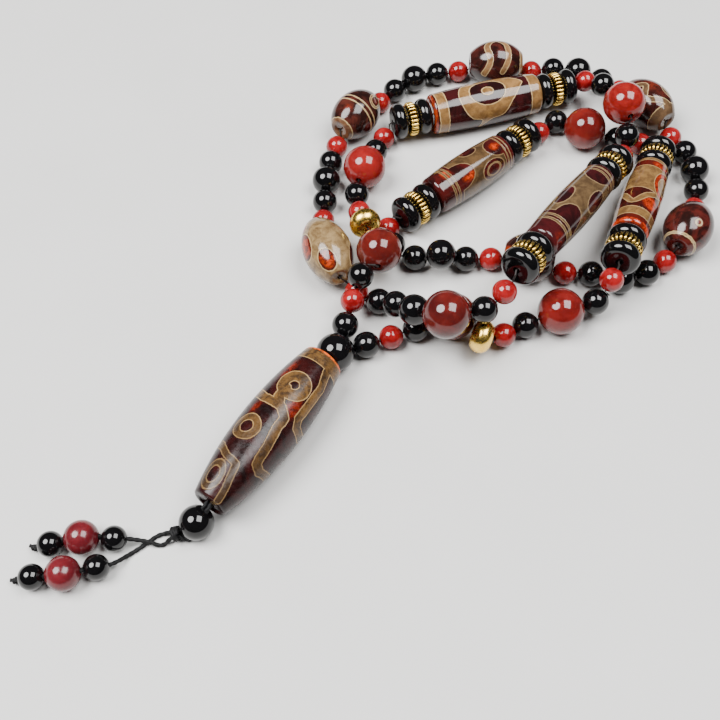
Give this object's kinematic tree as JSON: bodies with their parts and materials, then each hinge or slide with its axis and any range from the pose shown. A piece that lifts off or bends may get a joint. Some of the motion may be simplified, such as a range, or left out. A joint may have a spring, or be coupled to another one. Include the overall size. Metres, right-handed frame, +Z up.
{
  "type": "dzi bead necklace",
  "caption": "Long bead necklace lying in loose folds: black and red round beads, patterned dzi beads, gold spacers, a guru bead, a long dzi pendant and a short beaded tassel.",
  "frame": {"origin": "middle of the outline seen from above, on the surface that the necklace lies on", "axes": "+Z up from the surface; +X to the picture's right; +Y away from the viewer; the pendant points to -X -Y"},
  "size_m": [0.18, 0.173, 0.0257],
  "materials": {
    "onyx": "polished, opaque black",
    "red_agate": "polished, slightly translucent",
    "carnelian": "polished, cloudy and slightly translucent",
    "dzi_agate": "polished, with tan and cream line patterns",
    "pendant_agate": "polished, with cream eyes and zigzag lines",
    "gold": "polished gold",
    "black_cord": "matt twisted cord"
  },
  "bodies": {
    "root": {"pendant_dzi": "pendant_agate", "guru_bead": "onyx", "pendant_end_bead": "onyx", "tube_dzi_1": "dzi_agate", "tube_dzi_2": "dzi_agate", "tube_dzi_3": "dzi_agate", "tube_dzi_4": "dzi_agate", "barrel_dzi_1": "dzi_agate", "barrel_dzi_2": "dzi_agate", "barrel_dzi_3": "dzi_agate", "barrel_dzi_4": "dzi_agate", "barrel_dzi_5": "dzi_agate", "barrel_dzi_6": "dzi_agate", "large_red_bead_1": "carnelian", "large_red_bead_2": "carnelian", "large_red_bead_3": "carnelian", "large_red_bead_4": "carnelian", "large_red_bead_5": "carnelian", "large_red_bead_6": "carnelian", "large_red_bead_7": "carnelian", "medium_black_bead_1": "onyx", "medium_black_bead_2": "onyx", "medium_black_bead_3": "onyx", "medium_black_bead_4": "onyx", "medium_black_bead_5": "onyx", "medium_black_bead_6": "onyx", "medium_black_bead_7": "onyx", "gold_saucer_1": "gold", "gold_saucer_2": "gold", "small_black_beads": "onyx", "small_red_beads": "red_agate", "spacer_rondelles": "onyx", "gold_rings": "gold", "tassel_red_bead_1": "red_agate", "tassel_red_bead_2": "red_agate", "tassel_black_bead_1": "onyx", "tassel_black_bead_2": "onyx", "tassel_black_bead_3": "onyx", "tassel_black_bead_4": "onyx", "tassel_knots": "black_cord", "necklace_thread": "black_cord", "pendant_cords": "black_cord"}
  },
  "joints": []
}
